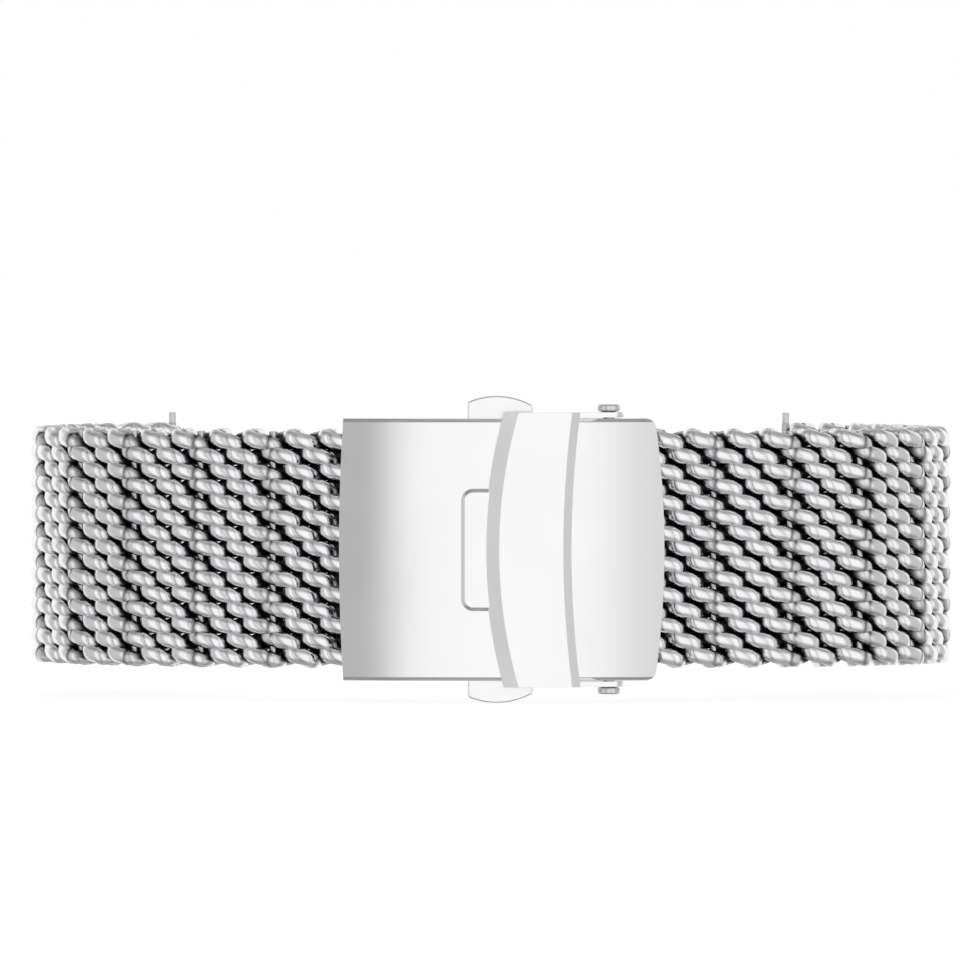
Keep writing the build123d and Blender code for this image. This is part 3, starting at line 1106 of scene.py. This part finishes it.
@dataclass
class Studio:
    """A white studio: floor, sky, soft lamps and the camera.

    Attributes:
        view_width: Width of the picture at the clasp.
        aim: The point at the picture's middle.
        distance: From the aim to the camera.
        tilt: How far the camera looks down, in degrees.
        sensor_width: Width of the camera's sensor, in millimetres.
        clip_end: The farthest that the camera sees.
        floor_size: Side of the floor.
        floor_grey: Brightness of the floor's matt paint.
        floor_glow: Strength of the floor's own light.
        glow_share: Share of that light in what the camera sees of the floor.
        ambient: Strength of the light from all around.
        left_flag: The flag that the cover's left end shows, left of front.
        right_flag: The flag that the cover's right end shows, right of front.
        bevel_flag: The flag that the safety flap's left bevel shows, left of front.
        side_flags: The wide flags at both sides.
        top_shade: Brightness of the studio straight above and below.
        top_from: How steeply up or down the studio begins to darken, as a sine.
        top_to: The same for where it is darkest.
        lamps: The lamps.
    """

    view_width: float = 81.0 * MILLIMETRE
    aim: tuple[float, float, float] = (-0.76 * MILLIMETRE, -20.0 * MILLIMETRE, 5.85 * MILLIMETRE)
    distance: float = 2.0
    tilt: float = 1.0
    sensor_width: float = 36.0
    clip_end: float = 6.0
    floor_size: float = 12.0
    floor_grey: float = 0.86
    floor_glow: float = 1.30
    glow_share: float = 0.62
    ambient: float = 0.6
    left_flag: Flag = Flag(16.0, 21.0, 28.0, 36.0, shade=0.40)
    right_flag: Flag = Flag(15.0, 27.0, 29.0, 38.0, shade=0.66)
    bevel_flag: Flag = Flag(36.5, 39.0, 43.0, 46.0, shade=0.45)
    side_flags: Flag = Flag(64.0, 72.0, 112.0, 135.0, shade=0.58)
    top_shade: float = 0.46
    top_from: float = 0.35
    top_to: float = 0.80
    lamps: tuple[Lamp, ...] = (
        Lamp("key", (-0.35, -0.60, 0.75), size=0.9, power=1.4),
        Lamp("fill", (0.70, -0.50, 0.40), size=0.8, power=0.8),
        Lamp("rim", (0.10, 0.70, 0.70), size=0.8, power=0.8),
    )

    def build(self, floor_level: float) -> None:
        """Set up everything around the band.

        Args:
            floor_level: Height of the floor.
        """
        self._sky()
        self._floor(floor_level)
        for lamp in self.lamps:
            lamp.hang()
        self._camera()
        bpy.context.scene.view_settings.view_transform = "Standard"

    @staticmethod
    def _seen_straight(graph: Graph, rays: bpy.types.Node) -> Signal:
        """1 for what the camera sees, also through something clear, else 0."""
        return graph.out(rays, "Is Camera Ray").at_least(graph.out(rays, "Is Transmission Ray"))

    def _sky(self) -> None:
        """White to the camera, and white with soft grey flags to the steel."""
        world = bpy.data.worlds.new("studio")
        bpy.context.scene.world = world
        graph = emptied_graph(world)
        rays = graph.node("ShaderNodeLightPath")
        straight = self._seen_straight(graph, rays)
        glossy = graph.out(rays, "Is Glossy Ray")
        x, y, z = graph.split_xyz(graph.out(graph.node("ShaderNodeTexCoord"), "Generated"))
        # Degrees to the right and to the left of straight in front of the clasp.
        rightwards = graph.math("ARCTAN2", x, y * -1.0) * math.degrees(1.0)
        leftwards = rightwards * -1.0
        left = self.left_flag.dimming(leftwards)
        right = self.right_flag.dimming(rightwards)
        bevel = self.bevel_flag.dimming(leftwards)
        sides = self.side_flags.dimming(rightwards.absolute())
        steep = z.absolute().smooth_step(self.top_from, self.top_to)
        level = (1.0 - left - right) * (1.0 - bevel) * (1.0 - sides)
        level = level * (1.0 - steep * (1.0 - self.top_shade))
        shown = 1.0 - glossy * (1.0 - straight) * (1.0 - level)
        shade = graph.mix_colours(shown, BLACK, WHITE)
        backdrop = graph.node("ShaderNodeBackground", None, {"Color": shade, "Strength": 1.0})
        sockets = {"Color": WHITE, "Strength": self.ambient}
        around = graph.node("ShaderNodeBackground", None, sockets)
        sockets = {0: straight.at_least(glossy), 1: graph.out(around), 2: graph.out(backdrop)}
        mixed = graph.node("ShaderNodeMixShader", None, sockets)
        graph.node("ShaderNodeOutputWorld", None, {"Surface": graph.out(mixed)})

    def _floor(self, level: float) -> None:
        """A plain pale floor that keeps the band's shadow; the steel sees the studio in its place.

        Args:
            level: Height of the floor.
        """
        half = self.floor_size / 2
        places = [(x * half, y * half, level) for x, y in ((-1, -1), (1, -1), (1, 1), (-1, 1))]
        mesh = bpy.data.meshes.new("floor")
        mesh.from_pydata(places, [], [(0, 1, 2, 3)])
        mesh.materials.append(self._floor_material())
        new_object("floor", mesh)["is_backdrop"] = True

    def _floor_material(self) -> bpy.types.Material:
        """Matt paint that also glows to the camera and is clear to the steel.

        Returns:
            The material.
        """
        material = bpy.data.materials.new("pale_floor")
        graph = emptied_graph(material)
        paint = (self.floor_grey, self.floor_grey, self.floor_grey, 1.0)
        matt = graph.node("ShaderNodeBsdfDiffuse", None, {"Color": paint})
        sockets = {"Color": WHITE, "Strength": self.floor_glow}
        glow = graph.node("ShaderNodeEmission", None, sockets)
        clear = graph.node("ShaderNodeBsdfTransparent")
        rays = graph.node("ShaderNodeLightPath")
        share = self._seen_straight(graph, rays) * self.glow_share
        sockets = {0: share, 1: graph.out(matt), 2: graph.out(glow)}
        pale = graph.node("ShaderNodeMixShader", None, sockets)
        glossy = graph.out(rays, "Is Glossy Ray")
        sockets = {0: glossy, 1: graph.out(pale), 2: graph.out(clear)}
        mixed = graph.node("ShaderNodeMixShader", None, sockets)
        graph.node("ShaderNodeOutputMaterial", None, {"Surface": graph.out(mixed)})
        return material

    def _camera(self) -> None:
        """The photograph's view: square on to the clasp, from far off."""
        data = bpy.data.cameras.new("camera")
        data.sensor_width = self.sensor_width
        data.lens = self.sensor_width * self.distance / self.view_width
        data.clip_end = self.clip_end
        camera = new_object("camera", data)
        tilt = math.radians(self.tilt)
        backwards = Vector((0.0, -math.cos(tilt), math.sin(tilt)))
        camera.location = Vector(self.aim) + self.distance * backwards
        camera.rotation_euler = (math.pi / 2 - tilt, 0.0, 0.0)
        bpy.context.scene.camera = camera


def as_lists(box: tuple[Vector, Vector]) -> list[list[float]]:
    """A box's two corners as plain lists of numbers."""
    return [list(corner) for corner in box]


def main() -> None:
    """Load the frame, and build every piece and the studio."""
    logging.basicConfig(level=logging.INFO, format="%(name)s %(message)s")
    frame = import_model()
    behaviour = frame["record"]["behaviour"]
    cad_box = as_lists(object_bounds())
    floor_level = cad_box[0][2]
    rack = FinishRack()
    wire = WoundWireTree()
    section = MeshSection()
    section.build_tree(wire)
    Chain("left", "cover_spring_bar", -1.0).build(section, rack)
    Chain("right", "blade_spring_bar", 1.0).build(section, rack)
    for piece in Clasp().pieces(behaviour["bodies"]):
        piece.build(frame["nodes"], rack)
    ButtonSpring().build(wire, behaviour["joints"], rack)
    Studio().build(floor_level)


if __name__ == "__main__":
    main()
